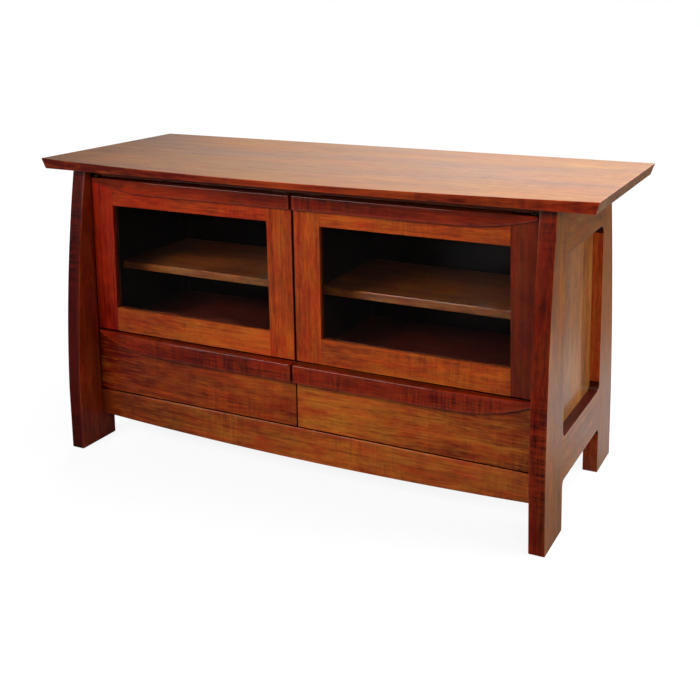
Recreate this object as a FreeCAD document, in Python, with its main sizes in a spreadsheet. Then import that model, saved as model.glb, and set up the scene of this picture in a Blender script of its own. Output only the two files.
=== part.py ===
import FreeCAD, Part
import os
import re
import Sketcher

# A tv stand: leaning side frames with curved legs, two glass doors over two drawers, one wide top.
# X runs along the width, +Y to the back, +Z up; the origin is on the floor under the middle of the feet.
# All sizes are millimetres and degrees.

doc = FreeCAD.newDocument("tv_stand")
sheet = doc.addObject("Spreadsheet::Sheet", "Sizes")

sizes = {
    # overall form
    "stand_height": 765,
    "stand_width": 1411,
    "feet_depth": 592,
    "lean": 2.73,
    # top board
    "top_overhang": 51,
    "top_front_setback": 48.5,
    "top_back_setback": 3,
    "top_thickness": 26,
    "top_undercut": 7,
    "top_front_undercut": 5,
    "top_bow": 60,
    "top_bevel_rise": 11,
    # side frames
    "leg_thickness": 37,
    "leg_depth": 132,
    "leg_straight": 168,
    "leg_top_setback": 66,
    "leg_bow": 12,
    "side_rail_bottom": 120,
    "side_opening_bottom": 224,
    "side_top_rail_height": 105,
    "opening_radius": 20,
    "arch_radius": 15,
    "panel_recess": 24,
    "panel_lap": 10,
    "tenon_thickness": 10,
    "tenon_length": 38,
    "tenon_shoulder": 12,
    # rails that tie the side frames
    "fronts_setback": 85,
    "front_thickness": 20,
    "front_clearance": 2,
    "front_top_rail_height": 16.5,
    "front_top_rail_depth": 36,
    "front_top_rail_set": 12,
    "bottom_rail_top": 146,
    "bottom_rail_lift": 60,
    "bottom_rail_bow": 16,
    "back_setback": 96,
    "back_thickness": 10,
    "back_rail_height": 60,
    "back_rail_depth": 20,
    "tenon_wall": 2,
    "cross_tenon_shoulder": 4,
    "cable_hole_radius": 25,
    "cable_hole_rise": 275,
    # boards inside the case
    "floor_thickness": 18,
    "floor_drop": 0.8,
    "case_bottom_thickness": 12,
    "case_bottom_drop": 4,
    "divider_thickness": 18,
    "shelf_thickness": 20,
    "shelf_clearance": 138,
    "shelf_setback": 112,
    "shelf_play": 0.5,
    "pin_radius": 2.5,
    "pin_depth": 8,
    "pin_reach": 9,
    "pin_inset": 40,
    # doors and drawer fronts
    "front_gap": 4,
    "center_gap": 3.5,
    "side_gap": 3,
    "hinge_gap": 2.5,
    "drawer_front_height": 167.5,
    "hinge_stile_width": 64,
    "meeting_stile_width": 68,
    "door_top_rail": 67,
    "door_bottom_rail": 63,
    "door_tenon_length": 30,
    "door_tenon_thickness": 8,
    "rabbet_width": 9,
    "rabbet_lip": 8,
    "glass_thickness": 4,
    "glass_play": 1,
    # pulls along the tops of doors and drawers
    "pull_center_gap": 7.5,
    "pull_end_gap": 5,
    "pull_plan_straight": 0.5,
    "pull_front_straight": 0.7,
    "door_pull_height": 33,
    "door_pull_end_height": 9,
    "door_pull_reach": 10,
    "door_pull_end_reach": 4,
    "drawer_pull_height": 45,
    "drawer_pull_end_height": 9,
    "drawer_pull_reach": 25,
    "drawer_pull_end_reach": 5,
    # pivot hinges and catches
    "pivot_edge": 12,
    "pivot_depth": 6,
    "pivot_radius": 2.5,
    "pivot_play": 0.05,
    "pivot_tip_gap": 0.2,
    "leaf_thickness": 2.5,
    "leaf_half_width": 4.5,
    "leaf_length": 30,
    "leaf_end": 7,
    "plate_tail": 22,
    "strike_thickness": 1.2,
    "strike_height": 10,
    "strike_width": 30,
    "catch_width": 40,
    "catch_height": 13,
    "catch_depth": 12,
    "catch_offset": 22,
    # drawer boxes and slides
    "box_lift": 16,
    "box_headroom": 15,
    "box_thickness": 12,
    "box_joint": 8,
    "tray_thickness": 6,
    "tray_rise": 6,
    "groove_depth": 5,
    "slide_rise": 57,
    "slide_set": 1,
    "slide_back_gap": 8,
    "slide_thickness": 12.7,
    "slide_half_height": 22.5,
    "slide_wall": 1.4,
    "slide_play": 0.4,
    "slide_lip_gap": 2.1,
    # how far a cutting shape runs past the piece it cuts
    "overrun": 10,
}
for row, (alias, number) in enumerate(sizes.items(), start=1):
    sheet.set(f"A{row}", str(number))
    sheet.setAlias(f"A{row}", alias)
doc.recompute()

SIDES = (("left", -1), ("right", 1))
ENDS = (("front", -1), ("back", 1))
pieces = []


# Helpers that bind shapes to the sheet

def cells(text):
    """Writes every size named in the text as its cell in the sheet."""
    return re.sub(r"[a-z_]+", lambda word: "Sizes." + word[0] if word[0] in sizes else word[0], str(text))


def value(text):
    """The present value of an expression."""
    result = sheet.evalExpression(cells(text))
    return getattr(result, "Value", result)


def bind(item, name, text):
    item.setExpression(name, cells(text))


def keep(piece):
    """Marks a finished piece for export."""
    pieces.append(piece)
    return piece


def outline(body, name, plane, offset, corners):
    """Closed sketch through corners (across, up). A corner with a radius and a side (1 left of the
    direction of travel, -1 right) starts an arc to the next corner that bulges to that side."""
    sketch = body.newObject("Sketcher::SketchObject", name)
    base = next(item for item in body.Origin.OriginFeatures if item.Role == plane)
    sketch.AttachmentSupport = [(base, "")]
    sketch.MapMode = "FlatFace"
    bind(sketch, "AttachmentOffset.Base.z", offset)
    spots = [FreeCAD.Vector(value(corner[0]), value(corner[1]), 0) for corner in corners]
    count = len(corners)
    starts = []
    for index, corner in enumerate(corners):
        first = spots[index]
        last = spots[(index + 1) % count]
        if len(corner) == 2:
            sketch.addGeometry(Part.LineSegment(first, last))
            starts.append(1)
            continue
        radius = value(corner[2])
        chord = last - first
        rise = radius - (radius ** 2 - chord.Length ** 2 / 4) ** 0.5
        normal = FreeCAD.Vector(-chord.y, chord.x, 0).normalize()
        middle = (first + last) * 0.5 + normal * (corner[3] * rise)
        # Arcs are drawn anticlockwise, so one that bulges to the left starts at its far end.
        ends = (last, first) if corner[3] > 0 else (first, last)
        sketch.addGeometry(Part.Arc(ends[0], middle, ends[1]))
        starts.append(2 if corner[3] > 0 else 1)
    for index, corner in enumerate(corners):
        after = (index + 1) % count
        joint = Sketcher.Constraint("Coincident", index, 3 - starts[index], after, starts[after])
        sketch.addConstraint(joint)
        for kind, text in (("DistanceX", corner[0]), ("DistanceY", corner[1])):
            now = value(text)
            place = sketch.addConstraint(Sketcher.Constraint(kind, -1, 1, index, starts[index], now))
            bind(sketch, f"Constraints[{place}]", text)
        if len(corner) > 2:
            place = sketch.addConstraint(Sketcher.Constraint("Radius", index, value(corner[2])))
            bind(sketch, f"Constraints[{place}]", corner[2])
    return sketch


def prism(name, plane, corners, low, high):
    """Body padded from one outline between two positions along the axis across its plane."""
    body = doc.addObject("PartDesign::Body", name)
    # A sketch on the XZ plane looks along -Y, so its pad starts from the high end.
    offset = f"-({high})" if plane == "XZ_Plane" else low
    pad = body.newObject("PartDesign::Pad", name + "_pad")
    pad.Profile = outline(body, name + "_outline", plane, offset, corners)
    bind(pad, "Length", f"({high}) - ({low})")
    body.Tip = pad
    return body


def box(name, across, deep, tall):
    """Block between pairs of positions along X, Y and Z."""
    block = doc.addObject("Part::Box", name)
    for axis, size, (low, high) in (("x", "Length", across), ("y", "Width", deep), ("z", "Height", tall)):
        bind(block, "Placement.Base." + axis, low)
        bind(block, size, f"({high}) - ({low})")
    return block


def rod(name, radius, place, length, turn=None):
    """Cylinder that starts at a place and runs up, or along the axis that Z is turned to."""
    piece = doc.addObject("Part::Cylinder", name)
    if turn:
        piece.Placement = FreeCAD.Placement(FreeCAD.Vector(), FreeCAD.Rotation(FreeCAD.Vector(0, 0, 1), turn))
    bind(piece, "Radius", radius)
    bind(piece, "Height", length)
    for axis, text in zip("xyz", place):
        bind(piece, "Placement.Base." + axis, text)
    return piece


def fuse(name, shapes):
    piece = doc.addObject("Part::MultiFuse", name)
    piece.Shapes = list(shapes)
    piece.Refine = True
    return piece


def cut(name, base, tools):
    piece = doc.addObject("Part::Cut", name)
    piece.Base = base
    piece.Tool = tools[0] if len(tools) == 1 else fuse(name + "_tools", tools)
    piece.Refine = True
    return piece


def common(name, first, second):
    piece = doc.addObject("Part::Common", name)
    piece.Base = first
    piece.Tool = second
    return piece


def group(name, shapes):
    """Alike small pieces that share one file."""
    piece = doc.addObject("Part::Compound", name)
    piece.Links = list(shapes)
    return piece


# Positions that several pieces share

FOOT_WIDTH = "(stand_width - 2 * top_overhang)"
UNDER_TOP = "(stand_height - top_thickness)"
OPENING_TOP = f"({UNDER_TOP} - side_top_rail_height)"
RAIL_UNDER = f"({UNDER_TOP} - front_top_rail_height)"
DOOR_TOP = f"({RAIL_UNDER} - hinge_gap)"
DRAWER_BOTTOM = "(bottom_rail_top + front_gap)"
DRAWER_TOP = f"({DRAWER_BOTTOM} + drawer_front_height)"
DOOR_BOTTOM = f"({DRAWER_TOP} + front_gap)"
FLOOR_TOP = f"({DOOR_BOTTOM} - floor_drop)"
FLOOR_UNDER = f"({FLOOR_TOP} - floor_thickness)"
CASE_BOTTOM_TOP = "(bottom_rail_top - case_bottom_drop)"
CASE_BOTTOM_UNDER = f"({CASE_BOTTOM_TOP} - case_bottom_thickness)"
SHELF_UNDER = f"({FLOOR_TOP} + shelf_clearance)"
FRONT = "(fronts_setback - feet_depth / 2)"
FRONT_BACK = f"({FRONT} + front_thickness)"
CASE_FRONT = f"({FRONT_BACK} + front_clearance)"
CASE_BACK = "(feet_depth / 2 - back_setback)"
LEG_EDGE = "(feet_depth / 2 - leg_depth)"
FRONT_EDGE = "leg_thickness + side_gap"


def side_x(depth, height):
    """Half width at a height, at a depth inside the leaning outer face of a side frame."""
    return f"({FOOT_WIDTH} / 2 - ({height}) * tan(lean) - ({depth}) / cos(lean))"


def leaning(sign, depths, heights):
    """Outline of a board that leans with the side frame, between two depths and two heights."""
    near, far = depths
    low, high = heights
    turns = ((near, low), (far, low), (far, high), (near, high))
    return [(f"{sign} * {side_x(depth, height)}", height) for depth, height in turns]


def across(depth, heights):
    """Outline of a board that runs from one side frame to the other."""
    low, high = heights
    turns = ((-1, low), (1, low), (1, high), (-1, high))
    return [(f"{sign} * {side_x(depth, height)}", height) for sign, height in turns]


def half_front(sign, near, depth, heights):
    """Outline of a board from an upright edge near the middle to a leaning edge at the side."""
    low, high = heights
    turns = ((near, low), (side_x(depth, low), low), (side_x(depth, high), high), (near, high))
    return [(f"{sign} * ({place})", height) for place, height in turns]


def bow(chord, rise):
    """Radius of the arc with this chord and rise."""
    return f"((({chord})^2 / 4 + ({rise})^2) / (2 * ({rise})))"


def sweep(run, rise):
    """Radius of the arc that leaves a straight line and rises this much over a run."""
    return f"((({run})^2 + ({rise})^2) / (2 * ({rise})))"


# Top board: bowed in front, edges sloping in, and a flat bevel under the bow from corner to corner

board = doc.addObject("PartDesign::Body", "top_board")
faces = []
top_levels = (("stand_height", "0", "0"), (UNDER_TOP, "top_undercut", "top_front_undercut"))
for level, inset, front_inset in top_levels:
    reach = f"(stand_width / 2 - {inset})"
    near = f"(top_front_setback - feet_depth / 2 + {front_inset})"
    far = f"(feet_depth / 2 - top_back_setback - {inset})"
    front = (f"-{reach}", near, bow(f"2 * {reach}", "top_bow"), -1)
    corners = [front, (reach, near), (reach, far), (f"-{reach}", far)]
    faces.append(outline(board, f"top_face_{len(faces)}", "XY_Plane", level, corners))
loft = board.newObject("PartDesign::AdditiveLoft", "top_loft")
loft.Profile = faces[0]
loft.Sections = faces[1:]
board.Tip = loft
WHOLE_WIDTH = ("-stand_width", "stand_width")
bevel_front = f"{near} - 2 * top_bow"
bevel_outline = [
    (near, UNDER_TOP),
    (bevel_front, f"{UNDER_TOP} - overrun"),
    (bevel_front, f"{UNDER_TOP} + 2 * top_bevel_rise"),
]
bevel = prism("top_bevel", "YZ_Plane", bevel_outline, *WHOLE_WIDTH)
keep(cut("top_panel", board, [bevel]))

# Curves cut from the legs: straight at the foot, then an arc that draws in towards the top

foot = "feet_depth / 2"
chord = f"sqrt(leg_top_setback^2 + ({UNDER_TOP} - leg_straight)^2)"
curve_outline = [
    (foot, "leg_straight", bow(chord, "leg_bow"), -1),
    (f"{foot} - leg_top_setback", UNDER_TOP),
    (f"{foot} - leg_top_setback", f"{UNDER_TOP} + overrun"),
    (f"{foot} + overrun", f"{UNDER_TOP} + overrun"),
    (f"{foot} + overrun", "leg_straight"),
]
back_curve = prism("back_leg_curve", "YZ_Plane", curve_outline, *WHOLE_WIDTH)
front_curve = doc.addObject("Part::Mirroring", "front_leg_curve")
front_curve.Source = back_curve
front_curve.Normal = FreeCAD.Vector(0, 1, 0)
leg_curves = {"front": front_curve, "back": back_curve}

# Rail outlines of the side frames: the corners of the opening and of the arch below are rounded

OPEN = "opening_radius"
ARCH = "arch_radius"
bottom_rail_outline = [
    (f"-{LEG_EDGE}", f"side_rail_bottom - {ARCH}", ARCH, 1),
    (f"-{LEG_EDGE} + {ARCH}", "side_rail_bottom"),
    (f"{LEG_EDGE} - {ARCH}", "side_rail_bottom", ARCH, 1),
    (LEG_EDGE, f"side_rail_bottom - {ARCH}"),
    (LEG_EDGE, f"side_opening_bottom + {OPEN}", OPEN, 1),
    (f"{LEG_EDGE} - {OPEN}", "side_opening_bottom"),
    (f"-{LEG_EDGE} + {OPEN}", "side_opening_bottom", OPEN, 1),
    (f"-{LEG_EDGE}", f"side_opening_bottom + {OPEN}"),
]
top_rail_outline = [
    (f"-{LEG_EDGE}", f"{OPENING_TOP} - {OPEN}", OPEN, 1),
    (f"-{LEG_EDGE} + {OPEN}", OPENING_TOP),
    (f"{LEG_EDGE} - {OPEN}", OPENING_TOP, OPEN, 1),
    (LEG_EDGE, f"{OPENING_TOP} - {OPEN}"),
    (LEG_EDGE, UNDER_TOP),
    (f"-{LEG_EDGE}", UNDER_TOP),
]
bottom_rail_form = prism("side_bottom_rail_form", "YZ_Plane", bottom_rail_outline, *WHOLE_WIDTH)
top_rail_form = prism("side_top_rail_form", "YZ_Plane", top_rail_outline, *WHOLE_WIDTH)

# Rails from side to side, each with a tenon at both ends


def cross_rail(name, corners, heights, depths):
    """Rail of the given outline, with tenons into the legs that stop short of the side rails' tenons."""
    low, high = heights
    front, back = depths
    rail = prism(name + "_plain", "XZ_Plane", corners, front, back)
    tenon_heights = (f"{low} + cross_tenon_shoulder", f"{high} - cross_tenon_shoulder")
    tenon_outline = across("panel_recess + tenon_wall", tenon_heights)
    tenon = prism(name + "_tenon", "XZ_Plane", tenon_outline,
                  f"{front} + cross_tenon_shoulder", f"{back} - cross_tenon_shoulder")
    return fuse(name + "_with_tenons", [rail, tenon])


top_rail_heights = (RAIL_UNDER, UNDER_TOP)
rail_face = f"({FRONT} + front_top_rail_set)"
top_rail_depths = (rail_face, f"{rail_face} + front_top_rail_depth")
front_top_rail = cross_rail("front_top", across("leg_thickness", top_rail_heights), top_rail_heights,
                            top_rail_depths)

bottom_end = "(bottom_rail_lift + bottom_rail_bow)"
bottom_outline = across("leg_thickness", (bottom_end, "bottom_rail_top"))
bottom_chord = f"2 * {side_x('leg_thickness', bottom_end)}"
bottom_outline[0] += (bow(bottom_chord, "bottom_rail_bow"), -1)
front_bottom_rail = cross_rail("front_bottom", bottom_outline, (bottom_end, "bottom_rail_top"),
                               (FRONT, CASE_FRONT))
front_bottom_rail.Label = "front_bottom_rail"
keep(front_bottom_rail)

back_rail_heights = (f"({UNDER_TOP} - back_rail_height)", UNDER_TOP)
back_rail_depths = (f"({CASE_BACK} - back_rail_depth)", CASE_BACK)
back_top_rail = cross_rail("back_top", across("leg_thickness", back_rail_heights), back_rail_heights,
                           back_rail_depths)
back_top_rail.Label = "back_top_rail"
keep(back_top_rail)

# Shelf pins: two in the side and two in the partition under each shelf

ALONG_X = FreeCAD.Vector(1, 0, 0)
SHELF_FRONT = f"({FRONT} + shelf_setback)"
SHELF_BACK = f"({CASE_BACK} - shelf_play)"
PIN_LEVEL = f"({SHELF_UNDER} - pin_radius)"
pins = []
for side, sign in SIDES:
    for place in (f"{SHELF_FRONT} + pin_inset", f"{SHELF_BACK} - pin_inset"):
        wall = side_x("leg_thickness", PIN_LEVEL)
        spans = ((f"{wall} - pin_reach", f"{wall} + pin_depth"),
                 ("divider_thickness / 2 - pin_depth", "divider_thickness / 2 + pin_reach"))
        for inner, outer in spans:
            start = inner if sign > 0 else f"-({outer})"
            pins.append(rod(f"{side}_pin_{len(pins)}", "pin_radius", (start, place, PIN_LEVEL),
                            f"({outer}) - ({inner})", ALONG_X))
shelf_pins = keep(group("shelf_pins", pins))

# Side frames: panel, two tenoned rails and two legs, all leaning together

for side, sign in SIDES:
    panel_depths = ("panel_recess", "leg_thickness")
    lap = f"({LEG_EDGE} + panel_lap)"
    panel_heights = ("side_opening_bottom - panel_lap", f"{OPENING_TOP} + panel_lap")
    panel_blank = prism(side + "_panel_blank", "XZ_Plane", leaning(sign, panel_depths, panel_heights),
                        f"-{lap}", lap)
    keep(cut(side + "_side_panel", panel_blank, [shelf_pins]))

    rails = []
    spans = (("bottom", bottom_rail_form, "side_rail_bottom", "side_opening_bottom",
              f"side_rail_bottom - {ARCH}", f"side_opening_bottom + {OPEN}"),
             ("top", top_rail_form, OPENING_TOP, UNDER_TOP, f"{OPENING_TOP} - {OPEN}", UNDER_TOP))
    for level, form, low, high, lowest, highest in spans:
        name = f"{side}_side_{level}_rail"
        blank = prism(name + "_blank", "XZ_Plane", leaning(sign, ("0", "leg_thickness"), (lowest, highest)),
                      f"-{LEG_EDGE}", LEG_EDGE)
        tenon_depths = ("panel_recess - tenon_thickness", "panel_recess")
        tenon_heights = (f"{low} + tenon_shoulder", f"{high} - tenon_shoulder")
        tenon_end = f"({LEG_EDGE} + tenon_length)"
        tenon = prism(name + "_tenon", "XZ_Plane", leaning(sign, tenon_depths, tenon_heights),
                      f"-{tenon_end}", tenon_end)
        shaped = common(name + "_shaped", blank, form)
        rails.append(keep(cut(name, fuse(name + "_with_tenons", [shaped, tenon]), [panel_blank])))

    for end, facing in ENDS:
        name = f"{side}_{end}_leg"
        span = ("-feet_depth / 2", f"-{LEG_EDGE}") if facing < 0 else (LEG_EDGE, "feet_depth / 2")
        leg_outline = leaning(sign, ("0", "leg_thickness"), ("0", UNDER_TOP))
        blank = prism(name + "_blank", "XZ_Plane", leg_outline, *span)
        joined = [front_top_rail, front_bottom_rail] if facing < 0 else [back_top_rail]
        keep(cut(name, blank, [leg_curves[end], panel_blank] + rails + joined))

# Back panel with a cable hole high up behind each compartment

back_blank = prism("back_panel_blank", "XZ_Plane", across("leg_thickness", (CASE_BOTTOM_UNDER, UNDER_TOP)),
                   CASE_BACK, f"{CASE_BACK} + back_thickness")
holes = []
for side, sign in SIDES:
    middle = f"{sign} * {FOOT_WIDTH} / 4"
    place = (middle, f"{CASE_BACK} - overrun", f"{FLOOR_TOP} + cable_hole_rise")
    holes.append(rod(side + "_cable_hole", "cable_hole_radius", place, "back_thickness + 2 * overrun",
                     FreeCAD.Vector(0, 1, 0)))
keep(cut("back_panel", back_blank, holes))

# Pivot hardware: plates with pins on the case, drilled sockets in the doors' edges

PIVOT_Y = f"({FRONT} + pivot_depth)"
PIVOT_X = f"({side_x(FRONT_EDGE, DOOR_TOP)} - pivot_edge)"


def mirrored(sign, low, high):
    """A pair of X positions on one side of the middle, in rising order."""
    return (low, high) if sign > 0 else (f"-({high})", f"-({low})")


leaf_depths = (f"{PIVOT_Y} - leaf_half_width", f"{PIVOT_Y} + leaf_half_width")
plates = {"upper": [], "lower": []}
sockets = {}
socket_blanks = {}
for side, sign in SIDES:
    leaf_across = mirrored(sign, f"{PIVOT_X} - leaf_length", f"{PIVOT_X} + leaf_end")
    plate_across = mirrored(sign, f"{PIVOT_X} - leaf_end", f"{PIVOT_X} + leaf_end")
    upper_start = f"({DOOR_TOP} - leaf_thickness + pivot_tip_gap)"
    upper_end = f"({RAIL_UNDER} + leaf_thickness)"
    lower_start = f"({FLOOR_TOP} - leaf_thickness)"
    lower_end = f"({DOOR_BOTTOM} + leaf_thickness - pivot_tip_gap)"
    for level, plate_low, pin_low, pin_high in (("upper", RAIL_UNDER, upper_start, upper_end),
                                                ("lower", lower_start, lower_start, lower_end)):
        name = f"{side}_{level}"
        leaf = box(name + "_leaf", plate_across, (leaf_depths[0], f"{CASE_FRONT} + plate_tail"),
                   (plate_low, f"{plate_low} + leaf_thickness"))
        pin_foot = (f"{sign} * {PIVOT_X}", PIVOT_Y, pin_low)
        pin = rod(name + "_pin", "pivot_radius", pin_foot, f"{pin_high} - {pin_low}")
        plates[level].append(fuse(name + "_plate", [leaf, pin]))

    blanks = []
    drilled = []
    for level, low in (("top", f"({DOOR_TOP} - leaf_thickness)"), ("bottom", DOOR_BOTTOM)):
        name = f"{side}_{level}_socket"
        blank = box(name + "_blank", leaf_across, leaf_depths, (low, f"{low} + leaf_thickness"))
        hole = rod(name + "_hole", "pivot_radius + pivot_play",
                   (f"{sign} * {PIVOT_X}", PIVOT_Y, f"{low} - overrun"), "leaf_thickness + 2 * overrun")
        blanks.append(blank)
        drilled.append(cut(name, blank, [hole]))
    socket_blanks[side] = blanks
    sockets[side] = keep(group(side + "_door_pivot_sockets", drilled))
keep(group("pivot_plates", plates["upper"] + plates["lower"]))

# The front top rail is let in for the upper plates, the compartment floor for the lower ones

keep(cut("front_top_rail", front_top_rail, plates["upper"]))
floor_blank = prism("floor_blank", "XZ_Plane", across("leg_thickness", (FLOOR_UNDER, FLOOR_TOP)),
                    CASE_FRONT, CASE_BACK)
keep(cut("compartment_floor", floor_blank, plates["lower"]))

# Boards inside the case

keep(prism("case_bottom", "XZ_Plane", across("leg_thickness", (CASE_BOTTOM_UNDER, CASE_BOTTOM_TOP)),
           CASE_FRONT, CASE_BACK))
HALF_DIVIDER = "divider_thickness / 2"
partition = box("partition_blank", (f"-{HALF_DIVIDER}", HALF_DIVIDER), (CASE_FRONT, CASE_BACK),
                (FLOOR_TOP, UNDER_TOP))
keep(cut("center_partition", partition, [front_top_rail, back_top_rail, shelf_pins]))
keep(box("drawer_divider", (f"-{HALF_DIVIDER}", HALF_DIVIDER), (CASE_FRONT, CASE_BACK),
         (CASE_BOTTOM_TOP, FLOOR_UNDER)))
for side, sign in SIDES:
    shelf_heights = (SHELF_UNDER, f"{SHELF_UNDER} + shelf_thickness")
    shelf_outline = half_front(sign, f"{HALF_DIVIDER} + shelf_play", "leg_thickness + shelf_play",
                               shelf_heights)
    keep(prism(side + "_shelf", "XZ_Plane", shelf_outline, SHELF_FRONT, SHELF_BACK))

# Pulls: a strip that is deepest and furthest out at the middle and sweeps away to the side


def pull(name, sign, kind, top_level):
    """Common of a plan outline, which gives the reach, and a front outline, which gives the depth."""
    near = "pull_center_gap / 2"
    far = side_x(f"{FRONT_EDGE} + pull_end_gap", top_level)
    plan_bend = f"({near} + pull_plan_straight * ({far} - {near}))"
    front_bend = f"({near} + pull_front_straight * ({far} - {near}))"
    reach_loss = f"({kind}_pull_reach - {kind}_pull_end_reach)"
    height_loss = f"({kind}_pull_height - {kind}_pull_end_height)"
    plan_radius = sweep(f"{far} - {plan_bend}", reach_loss)
    front_radius = sweep(f"{far} - {front_bend}", height_loss)
    plan = [
        (f"{sign} * {near}", FRONT),
        (f"{sign} * {near}", f"{FRONT} - {kind}_pull_reach"),
        (f"{sign} * {plan_bend}", f"{FRONT} - {kind}_pull_reach", plan_radius, -sign),
        (f"{sign} * {far}", f"{FRONT} - {kind}_pull_end_reach"),
        (f"{sign} * {far}", FRONT),
    ]
    lowest = f"{top_level} - {kind}_pull_height"
    front = [
        (f"{sign} * {near}", top_level),
        (f"{sign} * {near}", lowest),
        (f"{sign} * {front_bend}", lowest, front_radius, -sign),
        (f"{sign} * {far}", f"{top_level} - {kind}_pull_end_height"),
        (f"{sign} * {far}", top_level),
    ]
    seen_above = prism(name + "_plan", "XY_Plane", plan, f"{lowest} - overrun",
                       f"{top_level} + overrun")
    seen_ahead = prism(name + "_front", "XZ_Plane", front, f"{FRONT} - {kind}_pull_reach - overrun",
                       f"{FRONT} + overrun")
    return common(name, seen_above, seen_ahead)


# Doors: tenoned frames with the hinge stile leaning, glass in a rabbet behind beads

MEETING_EDGE = "(center_gap / 2 + meeting_stile_width)"
HINGE_EDGE = f"{FRONT_EDGE} + hinge_stile_width"
GLASS_BOTTOM = f"({DOOR_BOTTOM} + door_bottom_rail)"
GLASS_TOP = f"({DOOR_TOP} - door_top_rail)"
GLASS_FACE = f"({FRONT} + rabbet_lip)"
GLASS_BACK = f"({GLASS_FACE} + glass_thickness)"


def pane(sign, grow):
    """Outline of the door's window, grown on all four sides."""
    return half_front(sign, f"{MEETING_EDGE} - ({grow})", f"{HINGE_EDGE} - ({grow})",
                      (f"{GLASS_BOTTOM} - ({grow})", f"{GLASS_TOP} + ({grow})"))


for side, sign in SIDES:
    door = side + "_door"
    thick = (FRONT, FRONT_BACK)
    door_heights = (DOOR_BOTTOM, DOOR_TOP)
    rabbet = prism(door + "_rabbet", "XZ_Plane", pane(sign, "rabbet_width"), GLASS_FACE, FRONT_BACK)
    tenon_face = f"({FRONT} + (front_thickness - door_tenon_thickness) / 2)"
    rails = []
    for level, low, high in (("bottom", DOOR_BOTTOM, GLASS_BOTTOM), ("top", GLASS_TOP, DOOR_TOP)):
        name = f"{door}_{level}_rail"
        rail_outline = half_front(sign, MEETING_EDGE, HINGE_EDGE, (low, high))
        plain = prism(name + "_plain", "XZ_Plane", rail_outline, *thick)
        tenon_outline = half_front(sign, f"{MEETING_EDGE} - door_tenon_length",
                                   f"{HINGE_EDGE} - door_tenon_length",
                                   (f"{low} + tenon_shoulder", f"{high} - tenon_shoulder"))
        tenon = prism(name + "_tenon", "XZ_Plane", tenon_outline, tenon_face,
                      f"{tenon_face} + door_tenon_thickness")
        rails.append(keep(cut(name, fuse(name + "_with_tenons", [plain, tenon]), [rabbet])))

    hinge_outline = leaning(sign, (FRONT_EDGE, HINGE_EDGE), door_heights)
    hinge_blank = prism(door + "_hinge_blank", "XZ_Plane", hinge_outline, *thick)
    keep(cut(door + "_hinge_stile", hinge_blank, rails + [rabbet] + socket_blanks[side]))
    meeting_across = mirrored(sign, "center_gap / 2", MEETING_EDGE)
    meeting_blank = box(door + "_meeting_blank", meeting_across, thick, door_heights)
    keep(cut(door + "_meeting_stile", meeting_blank, rails + [rabbet]))

    keep(prism(door + "_glass", "XZ_Plane", pane(sign, "rabbet_width - glass_play"), GLASS_FACE, GLASS_BACK))
    inner_end = f"{MEETING_EDGE} - rabbet_width"
    outer_end = f"{HINGE_EDGE} - rabbet_width"
    beads = []
    for low in (f"({GLASS_BOTTOM} - rabbet_width)", GLASS_TOP):
        high = f"{low} + rabbet_width"
        level_outline = half_front(sign, inner_end, outer_end, (low, high))
        beads.append(prism(f"{door}_bead_{len(beads)}", "XZ_Plane", level_outline, GLASS_BACK, FRONT_BACK))
    beads.append(box(door + "_bead_2", mirrored(sign, inner_end, MEETING_EDGE), (GLASS_BACK, FRONT_BACK),
                     (GLASS_BOTTOM, GLASS_TOP)))
    upright_outline = leaning(sign, (outer_end, HINGE_EDGE), (GLASS_BOTTOM, GLASS_TOP))
    beads.append(prism(door + "_bead_3", "XZ_Plane", upright_outline, GLASS_BACK, FRONT_BACK))
    keep(group(door + "_glass_beads", beads))

    keep(pull(door + "_pull", sign, "door", DOOR_TOP))
    catch_middle = "(catch_offset + catch_width / 2)"
    strike_low = f"({RAIL_UNDER} - catch_height / 2 - strike_height / 2)"
    keep(box(door + "_strike_plate",
             mirrored(sign, f"{catch_middle} - strike_width / 2", f"{catch_middle} + strike_width / 2"),
             (FRONT_BACK, f"{FRONT_BACK} + strike_thickness"), (strike_low, f"{strike_low} + strike_height")))

# Catches under the front top rail, which also stop the doors

catches = []
for side, sign in SIDES:
    face = f"({FRONT_BACK} + strike_thickness)"
    catches.append(box(side + "_catch", mirrored(sign, "catch_offset", "catch_offset + catch_width"),
                       (face, f"{face} + catch_depth"), (f"{RAIL_UNDER} - catch_height", RAIL_UNDER)))
keep(group("door_catches", catches))

# Drawer slides: three channels that nest, one on the case, one between and one on the drawer

SLIDE_FRONT = f"({CASE_FRONT} + slide_set)"
SLIDE_BACK = f"({CASE_BACK} - slide_back_gap)"
BOX_BOTTOM = f"({CASE_BOTTOM_TOP} + box_lift)"
SLIDE_LEVEL = f"({BOX_BOTTOM} + slide_rise)"
NEST = "(slide_wall + slide_play)"
SLIDE_MEMBERS = (
    # member, depth of its web's outer face, depth its flanges reach, half height
    ("case", "0", "slide_thickness - slide_wall - slide_lip_gap", "slide_half_height"),
    ("middle", NEST, "slide_thickness - slide_wall - slide_lip_gap / 2", f"slide_half_height - {NEST}"),
    ("runner", "slide_thickness", f"2 * {NEST}", f"slide_half_height - 2 * {NEST}"),
)


def channel(name, spot, web, lip, half):
    """C-shaped channel along Y; spot turns a depth and a height on the slide into X and Z."""
    inner = f"{web} - slide_wall" if value(lip) < value(web) else f"{web} + slide_wall"
    turns = ((web, f"-({half})"), (lip, f"-({half})"), (lip, f"slide_wall - ({half})"),
             (inner, f"slide_wall - ({half})"), (inner, f"({half}) - slide_wall"),
             (lip, f"({half}) - slide_wall"), (lip, f"({half})"), (web, f"({half})"))
    return prism(name, "XZ_Plane", [spot(depth, rise) for depth, rise in turns], SLIDE_FRONT, SLIDE_BACK)


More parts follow.
